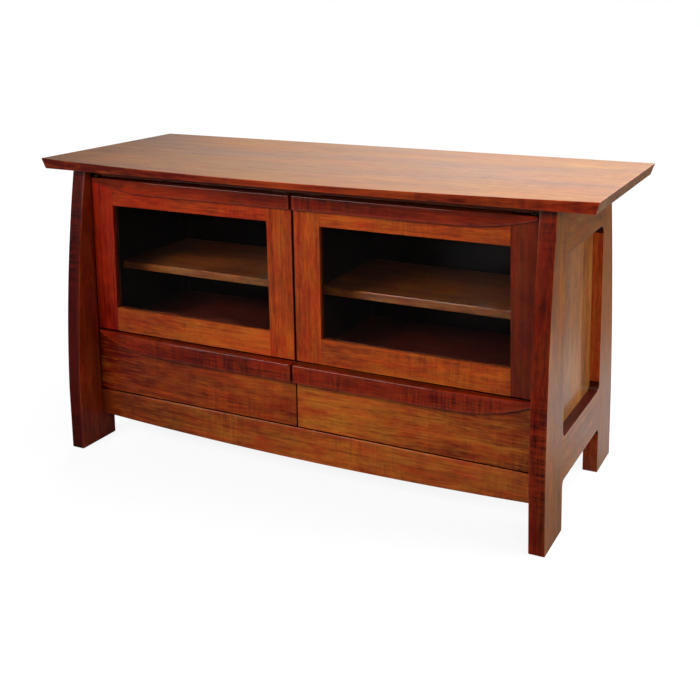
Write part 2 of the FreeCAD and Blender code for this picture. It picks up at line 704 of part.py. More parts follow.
slide_parts = {}
for side, sign in SIDES:
    def plumb_spot(depth, rise):
        return f"{sign} * ({HALF_DIVIDER} + {depth})", f"{SLIDE_LEVEL} + {rise}"

    def leaning_spot(depth, rise):
        level = f"{SLIDE_LEVEL} + {rise}"
        return f"{sign} * {side_x(f'leg_thickness + {depth}', level)}", level

    for place, spot in (("inner", plumb_spot), ("outer", leaning_spot)):
        for member, web, lip, half in SLIDE_MEMBERS:
            piece = channel(f"{side}_{place}_{member}", spot, web, lip, half)
            owner = "case" if member == "case" else f"{side}_{member}"
            slide_parts.setdefault(owner, []).append(piece)
keep(group("drawer_slide_rails", slide_parts["case"]))

# Drawers: the box joins its front half blind, and the tray sits in grooves under the back

BOX_TOP = f"({FLOOR_UNDER} - box_headroom)"
TRAY_BOTTOM = f"({BOX_BOTTOM} + tray_rise)"
TRAY_TOP = f"({TRAY_BOTTOM} + tray_thickness)"
INNER_FACE = f"({HALF_DIVIDER} + slide_thickness)"
OUTER_DEPTH = "leg_thickness + slide_thickness"
BOX_FRONT = f"({FRONT_BACK} - box_joint)"

for side, sign in SIDES:
    drawer = side + "_drawer"
    box_heights = (BOX_BOTTOM, BOX_TOP)
    inner_board = box(drawer + "_inner_blank", mirrored(sign, INNER_FACE, f"{INNER_FACE} + box_thickness"),
                      (BOX_FRONT, SLIDE_BACK), box_heights)
    outer_outline = leaning(sign, (OUTER_DEPTH, f"{OUTER_DEPTH} + box_thickness"), box_heights)
    outer_board = prism(drawer + "_outer_blank", "XZ_Plane", outer_outline, BOX_FRONT, SLIDE_BACK)
    tray_outline = half_front(sign, f"{INNER_FACE} + box_thickness - groove_depth",
                              f"{OUTER_DEPTH} + box_thickness - groove_depth", (TRAY_BOTTOM, TRAY_TOP))
    tray_front = f"{FRONT_BACK} - groove_depth"
    tray = keep(prism(drawer + "_bottom", "XZ_Plane", tray_outline, tray_front, SLIDE_BACK))
    back_outline = half_front(sign, f"{INNER_FACE} + box_thickness", f"{OUTER_DEPTH} + box_thickness",
                              (TRAY_TOP, BOX_TOP))
    keep(prism(drawer + "_back", "XZ_Plane", back_outline, f"{SLIDE_BACK} - box_thickness", SLIDE_BACK))

    inner_name, outer_name = ("right", "left") if sign < 0 else ("left", "right")
    keep(cut(f"{drawer}_{inner_name}_side", inner_board, [tray]))
    keep(cut(f"{drawer}_{outer_name}_side", outer_board, [tray]))
    front_outline = half_front(sign, "center_gap / 2", FRONT_EDGE, (DRAWER_BOTTOM, DRAWER_TOP))
    front_blank = prism(drawer + "_front_blank", "XZ_Plane", front_outline, FRONT, FRONT_BACK)
    keep(cut(drawer + "_front", front_blank, [inner_board, outer_board, tray]))
    keep(pull(drawer + "_pull", sign, "drawer", DRAWER_TOP))
    keep(group(drawer + "_slide_middles", slide_parts[side + "_middle"]))
    keep(group(drawer + "_slide_runners", slide_parts[side + "_runner"]))

# Build, check every object, and write one file for each piece

doc.recompute()
for item in doc.Objects:
    if "Invalid" in item.State or "Error" in item.State:
        raise RuntimeError(f"{item.Label} did not build: {item.State}")
os.makedirs("parts", exist_ok=True)
for piece in pieces:
    shape = piece.Shape
    if shape.isNull() or not shape.isValid() or not shape.Solids:
        raise RuntimeError(f"{piece.Label} has no valid solid")
    shape.exportStep(f"parts/{piece.Label}.step")
    print(piece.Label, len(shape.Solids), round(shape.Volume / 1000, 1))
print(len(pieces), "files")
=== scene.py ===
import math

import bpy
import numpy as np
from mathutils import Matrix, Vector


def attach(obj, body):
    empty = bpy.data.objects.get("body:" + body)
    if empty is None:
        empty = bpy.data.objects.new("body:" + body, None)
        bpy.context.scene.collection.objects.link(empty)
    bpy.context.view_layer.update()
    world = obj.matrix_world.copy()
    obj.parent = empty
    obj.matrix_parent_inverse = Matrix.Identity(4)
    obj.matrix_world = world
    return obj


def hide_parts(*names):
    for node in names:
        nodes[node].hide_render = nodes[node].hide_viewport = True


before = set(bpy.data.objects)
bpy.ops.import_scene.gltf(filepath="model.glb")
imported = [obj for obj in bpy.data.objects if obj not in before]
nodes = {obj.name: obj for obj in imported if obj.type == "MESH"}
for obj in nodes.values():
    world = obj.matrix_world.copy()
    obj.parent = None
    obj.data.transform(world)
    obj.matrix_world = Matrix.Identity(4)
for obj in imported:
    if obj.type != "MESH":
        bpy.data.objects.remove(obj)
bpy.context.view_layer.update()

# Legs: each is two maple boards glued face to face, sawn upright at the foot and in one long sweep
# above it, stained red brown and lacquered. The two on a side lean in together towards the top.
# Tenons hold the rails in them, so nothing of the fixing shows.

SIDES = {"left": -1, "right": 1}
LEAN = math.radians(2.73)
HALF_FOOT = 0.6545
FOOT_REACH = 0.296
LEG_THICKNESS = 0.037
LEG_INNER = 0.164
LEG_STRAIGHT = 0.168
LEG_SETBACK = 0.066
LEG_BOW = 0.012
UNDER_TOP = 0.739
LEG_EASE = 0.002
LEG_END_EASE = 0.001
LEG_STEPS = 56
JOINT_EASE = 0.0001
CORNER_POINTS = 5
EDGE_BAND = 0.006
NARROW_BAND = 0.3
EDGE_SLOPE = 0.8
LEAST_RUB = 0.3
NEXT_ALONG, NEXT_ACROSS = 1.37, 0.61
GAP_FADE = 0.001
FRONT = -0.211
CASE_BACK = 0.200
RAIL_END_LEVEL = 0.076
WHOLE = 1000.0
GRAIN_WANDER = 0.03
GREEN_SWING, BLUE_SWING = 0.45, 0.3
GAP_DARKENING, PORE_DARKENING = 0.9, 0.3
RELIEF_STRENGTH, RELIEF_DEPTH = 0.35, 0.0004
WOOD_SPECULAR = 0.14


def node(tree, kind, settings=(), **inputs):
    """Adds a shader node, sets its properties, and links or fills its inputs, by name or as i0, i1."""
    made = tree.nodes.new("ShaderNode" + kind)
    for name, setting in dict(settings).items():
        setattr(made, name, setting)
    for name, source in inputs.items():
        key = int(name[1:]) if name[1:].isdigit() else name.replace("_", " ")
        if isinstance(source, bpy.types.NodeSocket):
            tree.links.new(source, made.inputs[key])
        else:
            made.inputs[key].default_value = source
    return made


def sums(tree, operation, first, second=0.0, third=0.0, clamp=False):
    """One step of arithmetic on values or sockets."""
    settings = {"operation": operation, "use_clamp": clamp}
    return node(tree, "Math", settings, i0=first, i1=second, i2=third).outputs[0]


def vectors(tree, operation, first, second, third=(0, 0, 0)):
    """One step of arithmetic on vectors."""
    return node(tree, "VectorMath", {"operation": operation}, i0=first, i1=second, i2=third).outputs[0]


def noise(tree, grain, density, detail, roughness=0.5, output="Fac"):
    """Noise with so many features to the metre along, across and through the wood."""
    spread = vectors(tree, "MULTIPLY", grain, density)
    made = node(tree, "TexNoise", Vector=spread, Scale=1.0, Detail=detail, Roughness=roughness)
    return made.outputs[output]


def ranged(tree, source, low, high, first=0.0, last=1.0):
    """Maps a value from one range to another and holds it there."""
    limits = {"From_Min": low, "From_Max": high, "To_Min": first, "To_Max": last}
    return node(tree, "MapRange", Value=source, **limits).outputs[0]


def blended(tree, share, first, last):
    """Mixes two colours."""
    made = node(tree, "Mix", {"data_type": "RGBA"}, Factor=share, i6=first, i7=last)
    return made.outputs[2]


def stained_maple():
    """Node group for stained maple: streaks and dashes along the grain, blotches where the stain took
    unevenly, some redder and some more golden, curl across the grain in patches, a tone for every glued
    board, dark flecks, rubbed edges, and shade in the gaps between boards."""
    tree = bpy.data.node_groups.new("stained_maple", "ShaderNodeTree")
    for name, kind in (("Grain", "Vector"), ("Boards", "Vector"), ("Deep", "Color"), ("Pale", "Color"),
                       ("Figure", "Float"), ("Contrast", "Float"), ("Warmth", "Float"), ("Tone", "Float"),
                       ("Lacquer", "Float"), ("Edge", "Float"), ("Shade", "Float")):
        tree.interface.new_socket(name, in_out="INPUT", socket_type="NodeSocket" + kind)
    for name, kind in (("Colour", "Color"), ("Roughness", "Float"), ("Coat", "Float"), ("Height", "Float")):
        tree.interface.new_socket(name, in_out="OUTPUT", socket_type="NodeSocket" + kind)
    given = tree.nodes.new("NodeGroupInput").outputs
    put = tree.nodes.new("NodeGroupOutput").inputs
    grain = given["Grain"]

    drift = noise(tree, grain, (2.2, 6.0, 6.0), 1.0, output="Color")
    centred = (0, -GRAIN_WANDER / 2, -GRAIN_WANDER / 2)
    drift = vectors(tree, "MULTIPLY_ADD", drift, (0, GRAIN_WANDER, GRAIN_WANDER), centred)
    wavy = vectors(tree, "ADD", grain, drift)
    streak = noise(tree, wavy, (2.2, 120.0, 120.0), 4.0, 0.6)
    fibre = noise(tree, wavy, (22.0, 260.0, 260.0), 3.0, 0.6)
    blotch = noise(tree, grain, (4.0, 9.0, 9.0), 5.0, 0.62)
    mottle = noise(tree, wavy, (24.0, 42.0, 42.0), 3.0, 0.6)
    warmth = noise(tree, wavy, (11.0, 38.0, 38.0), 4.0, 0.65)
    curl = noise(tree, wavy, (150.0, 16.0, 16.0), 2.0)
    curl_patch = ranged(tree, noise(tree, grain, (3.0, 6.0, 6.0), 1.0), 0.44, 0.62)
    pores = ranged(tree, noise(tree, wavy, (60.0, 700.0, 700.0), 1.0), 0.60, 0.72)
    board = vectors(tree, "ADD", vectors(tree, "DIVIDE", grain, given["Boards"]), (0.5, 0.5, 0.5))
    board = vectors(tree, "FLOOR", board, (0, 0, 0))
    board = node(tree, "TexWhiteNoise", {"noise_dimensions": "3D"}, Vector=board).outputs["Value"]

    share = sums(tree, "ADD", given["Tone"], 0.5)
    curled = sums(tree, "MULTIPLY", curl_patch, given["Figure"])
    for source, weight in ((streak, 1.1), (fibre, 1.1), (blotch, 1.3), (mottle, 0.6), (curl, curled),
                           (board, given["Contrast"])):
        share = sums(tree, "MULTIPLY_ADD", sums(tree, "SUBTRACT", source, 0.5), weight, share)
    rubbed = sums(tree, "MULTIPLY", given["Edge"], ranged(tree, blotch, 0.35, 0.65, 0.1, 0.5))
    share = sums(tree, "ADD", share, rubbed, clamp=True)
    colour = blended(tree, share, given["Deep"], given["Pale"])
    golden = sums(tree, "MULTIPLY", ranged(tree, warmth, 0.3, 0.7, -1.0, 1.0), given["Warmth"])
    green = sums(tree, "MULTIPLY_ADD", golden, GREEN_SWING, 1.0)
    blue = sums(tree, "MULTIPLY_ADD", golden, BLUE_SWING, 1.0)
    hue = node(tree, "CombineXYZ", X=1.0, Y=green, Z=blue).outputs[0]
    lit = sums(tree, "MULTIPLY_ADD", given["Shade"], -GAP_DARKENING, 1.0)
    lit = sums(tree, "MULTIPLY", lit, sums(tree, "MULTIPLY_ADD", pores, -PORE_DARKENING, 1.0))
    colour = node(tree, "VectorMath", {"operation": "SCALE"}, i0=vectors(tree, "MULTIPLY", colour, hue),
                  Scale=lit).outputs[0]
    tree.links.new(colour, put["Colour"])
    uneven = ranged(tree, blotch, 0.3, 0.7, 0.33, 0.45)
    tree.links.new(sums(tree, "MULTIPLY_ADD", pores, 0.1, uneven), put["Roughness"])
    worn = ranged(tree, blotch, 0.3, 0.7, 1.0, 0.6)
    even = sums(tree, "MULTIPLY", worn, given["Lacquer"])
    tree.links.new(sums(tree, "MULTIPLY_ADD", given["Edge"], 0.8, even, clamp=True), put["Coat"])
    height = sums(tree, "SUBTRACT", sums(tree, "MULTIPLY", fibre, 0.4), pores)
    tree.links.new(sums(tree, "MULTIPLY_ADD", streak, 0.5, height), put["Height"])
    return tree


maple = stained_maple()


def new_finish(name):
    """A new material, with its node tree and the inputs of its shader."""
    made = bpy.data.materials.new(name)
    made.use_nodes = True
    return made, made.node_tree, made.node_tree.nodes["Principled BSDF"].inputs


def wood(name, deep, pale, boards=(WHOLE,) * 3, figure=0.4, contrast=0.0, warmth=1.0, tone=0.0,
         turn=None, start=(0, 0, 0), lacquer=0.4, gloss=0.14, shine=1.5, gap=None):
    """Lacquered maple. Without a turn the grain follows the piece's own grain attribute; with one it
    follows Object coordinates, turned so that the first axis runs along the board. A tone that is not one
    number is two places across the stand and the tones there, with a steady change between them. A gap is
    two depths, the distance from the middle of the stand and the level, between, inside and above which
    the piece lies in the shade of its neighbours."""
    made, tree, shader = new_finish(name)
    if turn is None:
        grain = node(tree, "Attribute", {"attribute_name": "grain"}).outputs["Vector"]
    else:
        place = node(tree, "TexCoord").outputs["Object"]
        grain = node(tree, "Mapping", Vector=place, Location=start, Rotation=turn).outputs[0]
    edge = node(tree, "Attribute", {"attribute_name": "edge"}).outputs["Fac"]
    spot = node(tree, "SeparateXYZ", Vector=node(tree, "TexCoord").outputs["Object"]).outputs
    if isinstance(tone, tuple):
        tone = ranged(tree, spot["X"], *tone)
    shade = 0.0
    if gap:
        near, far, half, low = gap
        shade = sums(tree, "MULTIPLY", ranged(tree, spot["Y"], near, near + GAP_FADE),
                     ranged(tree, spot["Y"], far - GAP_FADE, far, 1.0, 0.0))
        aside = sums(tree, "ABSOLUTE", spot["X"])
        shade = sums(tree, "MULTIPLY", shade, ranged(tree, aside, half, half + GAP_FADE, 1.0, 0.0))
        shade = sums(tree, "MULTIPLY", shade, ranged(tree, spot["Z"], low, low + GAP_FADE))
    group = node(tree, "Group", {"node_tree": maple}, Grain=grain, Boards=boards, Deep=(*deep, 1),
                 Pale=(*pale, 1), Figure=figure, Contrast=contrast, Warmth=warmth, Tone=tone,
                 Lacquer=lacquer, Edge=edge, Shade=shade).outputs
    relief = node(tree, "Bump", Strength=RELIEF_STRENGTH, Distance=RELIEF_DEPTH,
                  Height=group["Height"]).outputs[0]
    for source, socket in ((group["Colour"], "Base Color"), (group["Roughness"], "Roughness"),
                           (group["Coat"], "Coat Weight"), (relief, "Normal")):
        tree.links.new(source, shader[socket])
    shader["Coat Roughness"].default_value = gloss
    shader["Coat IOR"].default_value = shine
    shader["Specular IOR Level"].default_value = WOOD_SPECULAR
    return made


boards_made = []


def surfaced(name, verts, faces, lay, edge):
    """New piece from points and faces, with the lie of its grain and its rubbed edges as attributes."""
    mesh = bpy.data.meshes.new(name)
    mesh.from_pydata(verts, [], faces)
    mesh.polygons.foreach_set("use_smooth", np.ones(len(mesh.polygons), bool))
    mesh.attributes.new("grain", "FLOAT_VECTOR", "POINT").data.foreach_set("vector", lay.ravel())
    mesh.attributes.new("edge", "FLOAT", "POINT").data.foreach_set("value", edge.ravel())
    piece = bpy.data.objects.new(name, mesh)
    bpy.context.scene.collection.objects.link(piece)
    piece.modifiers.new("flat faces stay flat", "WEIGHTED_NORMAL").mode = "FACE_AREA"
    return piece


def ring_faces(count, around):
    """Faces of a closed surface of count rings, each of so many points: bands of quads and two caps."""
    i, j = np.meshgrid(np.arange(count - 1), np.arange(around), indexing="ij")
    k = (j + 1) % around
    quads = np.stack([i * around + j, i * around + k, (i + 1) * around + k, (i + 1) * around + j], axis=2)
    caps = np.stack([np.arange(around)[::-1], (count - 1) * around + np.arange(around)])
    return quads.reshape(-1, 4).tolist() + caps.tolist()


def rub_over(turn):
    """Wear over a rounded edge, from the angle turned along it: full at its middle, least at its sides."""
    return LEAST_RUB + (1 - LEAST_RUB) * np.sin(2 * turn)


def eased_bar(name, axes, ends, a, b, corners, end, steps=1, lean=0):
    """Bar whose section is a rectangle with eased corners, carried along an axis.

    At a station s the section runs over a[0](s) to a[1](s) and b[0](s) to b[1](s). A corner of radius r
    is the quarter circle centre + r (cos t, sin t). At both ends the section draws in by end (1 - sin t)
    at a distance end (1 - cos t), so those edges are round as well. axes names the directions of a, b
    and s, and the grain runs along s. steps is how many equal lengths the bar is cut into, or an array
    of its stations. With a lean of 1 or -1, x is a depth inside the leaning face of the right or left
    side frame.
    """
    turn = np.linspace(0, math.pi / 2, CORNER_POINTS)
    near = ends[0] + end * (1 - np.cos(turn))
    far = ends[1] - end * (1 - np.cos(turn[::-1]))
    inner = steps
    if not isinstance(steps, np.ndarray):
        band = min(EDGE_BAND, (far[0] - near[-1]) / 4)
        even = np.linspace(near[-1], far[0], steps + 1)[1:-1]
        inner = np.sort(np.concatenate([[near[-1] + band, far[0] - band], even]))
    s = np.concatenate([ends[:1], near, inner, far, ends[1:]])
    rounding = end * (1 - np.sin(turn))
    plain = np.zeros(len(inner))
    sides = [side(s) if callable(side) else np.full_like(s, side) for side in (*a, *b)]
    slimmest = np.minimum(sides[1] - sides[0], sides[3] - sides[2])
    caps_in = end + np.minimum(EDGE_BAND, NARROW_BAND * (slimmest[[0, -1]] - 2 * end))
    draw = np.concatenate([caps_in[:1], rounding, plain, rounding[::-1], caps_in[1:]])
    low_a, high_a, low_b, high_b = sides[0] + draw, sides[1] - draw, sides[2] + draw, sides[3] - draw

    arcs, flats = [], []
    quarters = ((high_a, high_b, 1, 1), (low_a, high_b, -1, 1), (low_a, low_b, -1, -1),
                (high_a, low_b, 1, -1))
    for index, (side_a, side_b, sign_a, sign_b) in enumerate(quarters):
        r = np.maximum(corners[index] - draw, corners[index] / 4)[:, None]
        angle = index * math.pi / 2 + turn
        arcs.append(np.stack([side_a[:, None] - sign_a * r + r * np.cos(angle),
                              side_b[:, None] - sign_b * r + r * np.sin(angle)], axis=2))
    for index in range(4):
        first, last = arcs[index][:, -1], arcs[(index + 1) % 4][:, 0]
        length = np.linalg.norm(last - first, axis=1, keepdims=True)
        step = (last - first) * np.minimum(EDGE_BAND / length, NARROW_BAND)
        flats.append(np.stack([first + step, last - step], axis=1))
    ring = np.concatenate([part for pair in zip(arcs, flats) for part in pair], axis=1)
    rub = rub_over(turn)
    rub_round = np.concatenate([[*(rub * (corner > JOINT_EASE)), 0, 0] for corner in corners])
    rub_end = rub * (end > JOINT_EASE)
    edge = np.maximum(rub_round[None, :], np.concatenate([[0], rub_end, plain, rub_end, [0]])[:, None])
    edge[[0, -1]] = 0

    count, around = ring.shape[:2]
    along = np.repeat(s[:, None], around, axis=1)
    spots = {axes[0]: ring[:, :, 0], axes[1]: ring[:, :, 1], axes[2]: along}
    boards_made.append(name)
    lay = np.stack([along + NEXT_ALONG * len(boards_made), ring[:, :, 1] + NEXT_ACROSS * len(boards_made),
                    ring[:, :, 0]], axis=2)
    if lean:
        spots["x"] = lean * side_x(spots["x"], spots["z"])
    verts = np.stack([spots[axis].ravel() for axis in "xyz"], axis=1)
    faces = ring_faces(count, around)
    right_handed = axes in ("xyz", "yzx", "zxy")
    if right_handed == (lean > 0):
        faces = [face[::-1] for face in faces]
    return surfaced(name, verts, faces, lay, edge)


def finished(piece, material, body, stands_for):
    """Gives a new piece its finish, its body and the node it stands for."""
    piece.data.materials.append(material)
    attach(piece, body)
    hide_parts(stands_for)


def refinish(piece, material, chosen):
    """Gives a piece's faces another finish where chosen holds for the direction x, y, z they look in."""
    mesh = piece.data
    mesh.materials.append(material)
    looks = np.empty(3 * len(mesh.polygons))
    mesh.polygons.foreach_get("normal", looks)
    finish = np.empty(len(mesh.polygons), np.int32)
    mesh.polygons.foreach_get("material_index", finish)
    finish[chosen(*looks.reshape(-1, 3).T)] = len(mesh.materials) - 1
    mesh.polygons.foreach_set("material_index", finish)


def side_x(depth, height):
    """Half width at a height, at a depth inside the leaning outer face of a side frame."""
    return HALF_FOOT - height * math.tan(LEAN) - depth / math.cos(LEAN)


def leg_reach(height):
    """Distance of a leg's outer edge from the middle: upright at the foot, then an arc that draws in."""
    rise = UNDER_TOP - LEG_STRAIGHT
    chord = math.hypot(rise, LEG_SETBACK)
    radius = (chord ** 2 / 4 + LEG_BOW ** 2) / (2 * LEG_BOW)
    inward = (radius - LEG_BOW) / chord
    centre_y = FOOT_REACH - LEG_SETBACK / 2 - inward * rise
    centre_z = LEG_STRAIGHT + rise / 2 - inward * LEG_SETBACK
    arc = centre_y + np.sqrt(radius ** 2 - (height - centre_z) ** 2)
    return np.where(height < LEG_STRAIGHT, FOOT_REACH, arc)


leg_boards = (WHOLE, WHOLE, LEG_THICKNESS / 2)
# The outer faces of the legs and side rails are paler and more golden than the legs' edges: partly the face
# grain's own colour, partly a painted sheen of the lacquer.
SIDE_DEEP = (0.07, 0.017, 0.002)
SIDE_PALE = (0.26, 0.080, 0.009)
leg_wood = wood("leg_wood", SIDE_DEEP, SIDE_PALE, leg_boards, warmth=0.5, lacquer=0.5)
# The legs' edges that face the side opening are coloured far paler than their front edges: painted light
# where the lamps reach into the opening.
opening_painted_light_wood = wood("leg_opening_painted_light_wood", (0.13, 0.010, 0.002), (0.52, 0.078, 0.012), leg_boards)
frame_depths = (0, LEG_THICKNESS)
# The legs' inner faces are coloured paler than their front edges, painted light for faces that only the lamp
# on the right reaches; behind the fronts the gap shade darkens them.
inner_face_painted_light_wood = wood("leg_inner_painted_light_wood", (0.08, 0.004, 0.001), (0.34, 0.042, 0.010), leg_boards,
                       gap=(FRONT, CASE_BACK, HALF_FOOT, RAIL_END_LEVEL))
# The left legs' front and back edges are coloured much darker than the right legs'.
leg_edge_colours = {
    "left": ((0.008, 0.0003, 0.0002), (0.068, 0.003, 0.0008)),
    "right": ((0.022, 0.001, 0.0004), (0.175, 0.014, 0.002)),
}
for side, sign in SIDES.items():
    edge_wood = wood(side + "_leg_edge_wood", *leg_edge_colours[side], leg_boards, figure=2.4, contrast=0.4,
                     lacquer=0.06)
    for end, deep in (("front", (lambda z: -leg_reach(z), -LEG_INNER)), ("back", (LEG_INNER, leg_reach))):
        hidden_first = (JOINT_EASE, JOINT_EASE, LEG_EASE, LEG_EASE)
        corners = hidden_first if end == "front" else hidden_first[::-1]
        name = f"{side}_{end}_leg"
        leg = eased_bar(name + "_shaped", "xyz", (0, UNDER_TOP), frame_depths, deep, corners,
                        LEG_END_EASE, LEG_STEPS, lean=sign)
        finished(leg, leg_wood, "case", name)
        refinish(leg, edge_wood, lambda x, y, z: np.abs(x) < EDGE_SLOPE)
        refinish(leg, inner_face_painted_light_wood, lambda x, y, z: sign * x < -EDGE_SLOPE)
        inward = 1 if end == "front" else -1
        refinish(leg, opening_painted_light_wood, lambda x, y, z: inward * y > EDGE_SLOPE)

# Side rails and panels: two rails join the legs of each side flush with their faces, and their inner
# corners are rounded where they meet the legs. A panel of upright staves sits behind, set well back.

OPENING = (0.224, 0.634)
RAIL_UNDER = 0.120
OPENING_RADIUS = 0.020
ARCH_RADIUS = 0.015
CURVE_POINTS = 14
SIDE_RAIL_EASE = 0.001
PANEL_RECESS = 0.024
PANEL_INSET = 0.0005
PANEL_LAP = 0.004
STAVE = 0.058


def rounded_corner(level, radius, direction):
    """Height of a rail's edge: level in the middle, and a quarter circle into the leg at both ends."""
    def height(y):
        run = np.clip(np.abs(y) - (LEG_INNER - radius), 0, radius)
        return level + direction * (radius - np.sqrt(radius ** 2 - run ** 2))
    return height


curve = OPENING_RADIUS * np.sin(np.linspace(0, math.pi / 2, CURVE_POINTS)[:-1])
back_end = LEG_INNER - OPENING_RADIUS + curve
rail_stations = np.concatenate([-back_end[::-1], back_end])
rail_wood = wood("side_rail_wood", SIDE_DEEP, SIDE_PALE, leg_boards, warmth=0.5, lacquer=0.5)
# The side rails' upper and lower edges are coloured near black, far darker than their faces: painted shade
# on the ledge and curves of the side opening.
rail_edge_painted_shade_wood = wood("side_rail_edge_painted_shade_wood", (0.014, 0.0006, 0.0002), (0.058, 0.005, 0.001), leg_boards,
                      lacquer=0.1)
# The panel staves are paler and more golden still: partly their own colour, partly a painted sheen.
panel_wood = wood("side_panel_wood", (0.09, 0.025, 0.006), (0.31, 0.118, 0.026), (WHOLE, STAVE, WHOLE),
                  contrast=0.35, warmth=0.5, lacquer=0.6)
# Faces inside the case are coloured near black.
INSIDE_DEEP = (0.004, 0.0015, 0.0009)
INSIDE_PALE = (0.022, 0.009, 0.006)
INSIDE_LACQUER = 0.1
inner_wood = wood("side_inner_wood", INSIDE_DEEP, INSIDE_PALE, lacquer=INSIDE_LACQUER)
rail_edges = {
    "bottom": (rounded_corner(RAIL_UNDER, ARCH_RADIUS, -1), rounded_corner(OPENING[0], OPENING_RADIUS, 1)),
    "top": (rounded_corner(OPENING[1], OPENING_RADIUS, -1), UNDER_TOP),
}
for side, sign in SIDES.items():
    for level, heights in rail_edges.items():
        name = f"{side}_side_{level}_rail"
        rail = eased_bar(name + "_shaped", "xzy", (-LEG_INNER, LEG_INNER), frame_depths, heights,
                         (SIDE_RAIL_EASE,) * 4, JOINT_EASE, rail_stations, lean=sign)
        finished(rail, rail_wood, "case", name)
        refinish(rail, rail_edge_painted_shade_wood, lambda x, y, z: np.abs(x) < EDGE_SLOPE)
        refinish(rail, inner_wood, lambda x, y, z: sign * x < -EDGE_SLOPE)
    name = side + "_side_panel"
    upright = (OPENING[0] - PANEL_LAP, OPENING[1] + PANEL_LAP)
    across = (-LEG_INNER - PANEL_LAP, LEG_INNER + PANEL_LAP)
    panel = eased_bar(name + "_staves", "xyz", upright, (PANEL_RECESS, LEG_THICKNESS - PANEL_INSET), across,
                      (JOINT_EASE,) * 4, JOINT_EASE, lean=sign)
    finished(panel, panel_wood, "case", name)
    refinish(panel, inner_wood, lambda x, y, z: sign * x < -EDGE_SLOPE)

# Rails from side to side: the bottom rail under the drawers is jointed from shorter lengths and its
# lower edge bows down, the top rail over the doors is narrow and set back, and one more ties the back.

CASE_FRONT = -0.189
RAIL_TOP = 0.146
RAIL_BOW = 0.016
RAIL_EASE = 0.0015
RAIL_STEPS = 80
CROSS_EASE = 0.0008
MERGE_DISTANCE = 1e-5
EASE_ANGLE = math.radians(35)
ALONG_X = (0, 0, 0)
ALONG_Z = (0, math.pi / 2, 0)
ALONG_Y = (0, 0, -math.pi / 2)


def arc_over(half, rise):
    """How far a shallow arc stands off its chord, at a place from -half to half along it."""
    radius = (half ** 2 + rise ** 2) / (2 * rise)
    return lambda x: rise - radius + np.sqrt(radius ** 2 - x ** 2)


def eased(name, material, width, points=2):
    """Keeps a node's own shape, rounds its edges and gives it a finish."""
    piece = nodes[name]
    piece.material_slots[0].material = material
    piece.modifiers.new("join the triangles", "WELD").merge_threshold = MERGE_DISTANCE
    round_off = piece.modifiers.new("eased edges", "BEVEL")
    round_off.width = width
    round_off.segments = points
    round_off.limit_method = "ANGLE"
    round_off.angle_limit = EASE_ANGLE
    round_off.harden_normals = True


rail_end = side_x(LEG_THICKNESS, RAIL_END_LEVEL)
lower_arc = arc_over(rail_end, RAIL_BOW)
jointed_wood = wood("bottom_rail_wood", (0.10, 0.014, 0.002), (0.39, 0.082, 0.010), figure=0.8,
                    contrast=0.15, boards=(0.46, WHOLE, WHOLE), tone=(-0.6, -0.1, -0.5, 0.2), lacquer=0.2,
                    shine=2.0, gap=(FRONT + RAIL_EASE, CASE_FRONT, HALF_FOOT, RAIL_END_LEVEL))
rail = eased_bar("front_bottom_rail_shaped", "yzx", (-rail_end, rail_end), (FRONT, CASE_FRONT),
                 (lambda x: RAIL_END_LEVEL - lower_arc(x), RAIL_TOP), (RAIL_EASE,) * 4, JOINT_EASE,
                 RAIL_STEPS)
finished(rail, jointed_wood, "case", "front_bottom_rail")
cross_wood = wood("cross_rail_wood", (0.06, 0.006, 0.002), (0.20, 0.03, 0.006), turn=ALONG_X)
for name in ("front_top_rail", "back_top_rail"):
    eased(name, cross_wood, CROSS_EASE)

# Boards inside the case: bottom, compartment floor, partition and drawer divider are housed between
# the side frames, and a thin back panel with two cable holes closes them. All are coloured near black
# but the compartment floor, a dark brown; the back panel is paler outside, and its inner face is
# darkened to near black by the gap shading.

BACK_THICKNESS = 0.010
LEVEL_EASE = 0.0008
THIN_EASE = 0.0006
INSIDE_BOARDS = (WHOLE, 0.12, WHOLE)
level_wood = wood("inside_level_wood", INSIDE_DEEP, INSIDE_PALE, INSIDE_BOARDS, contrast=0.3,
                  turn=ALONG_X, lacquer=INSIDE_LACQUER)
upright_wood = wood("inside_upright_wood", INSIDE_DEEP, INSIDE_PALE, INSIDE_BOARDS, contrast=0.3,
                    turn=ALONG_Z, lacquer=INSIDE_LACQUER)
floor_wood = wood("compartment_floor_wood", (0.04, 0.006, 0.003), (0.17, 0.03, 0.014), INSIDE_BOARDS,
                  contrast=0.3, turn=ALONG_X, lacquer=INSIDE_LACQUER)
for name, finish in (("case_bottom", level_wood), ("compartment_floor", floor_wood)):
    eased(name, finish, LEVEL_EASE)
for name in ("center_partition", "drawer_divider"):
    eased(name, upright_wood, THIN_EASE)
outer_wood = wood("back_panel_wood", (0.04, 0.011, 0.005), (0.19, 0.062, 0.026), INSIDE_BOARDS,
                  contrast=0.3, warmth=0.5, turn=ALONG_Z, lacquer=INSIDE_LACQUER,
                  gap=(CASE_FRONT, CASE_BACK + BACK_THICKNESS / 2, HALF_FOOT, 0))
eased("back_panel", outer_wood, THIN_EASE)

# Shelves: one loose board in each compartment, of a paler golden stain, with a rounded front edge.
# Each lies on four zinc-plated pins that are pressed into the sides and the partition.

SHELF_EASE = 0.0022
SHELF_POINTS = 3
CLOUD_TONE = 0.7
shelf_wood = wood("shelf_wood", (0.12, 0.029, 0.006), (0.40, 0.115, 0.021), (WHOLE, 0.085, WHOLE),
                  contrast=0.3, turn=ALONG_X, lacquer=0.6, gloss=0.1, shine=2.0)
for side in SIDES:
    eased(side + "_shelf", shelf_wood, SHELF_EASE, SHELF_POINTS)


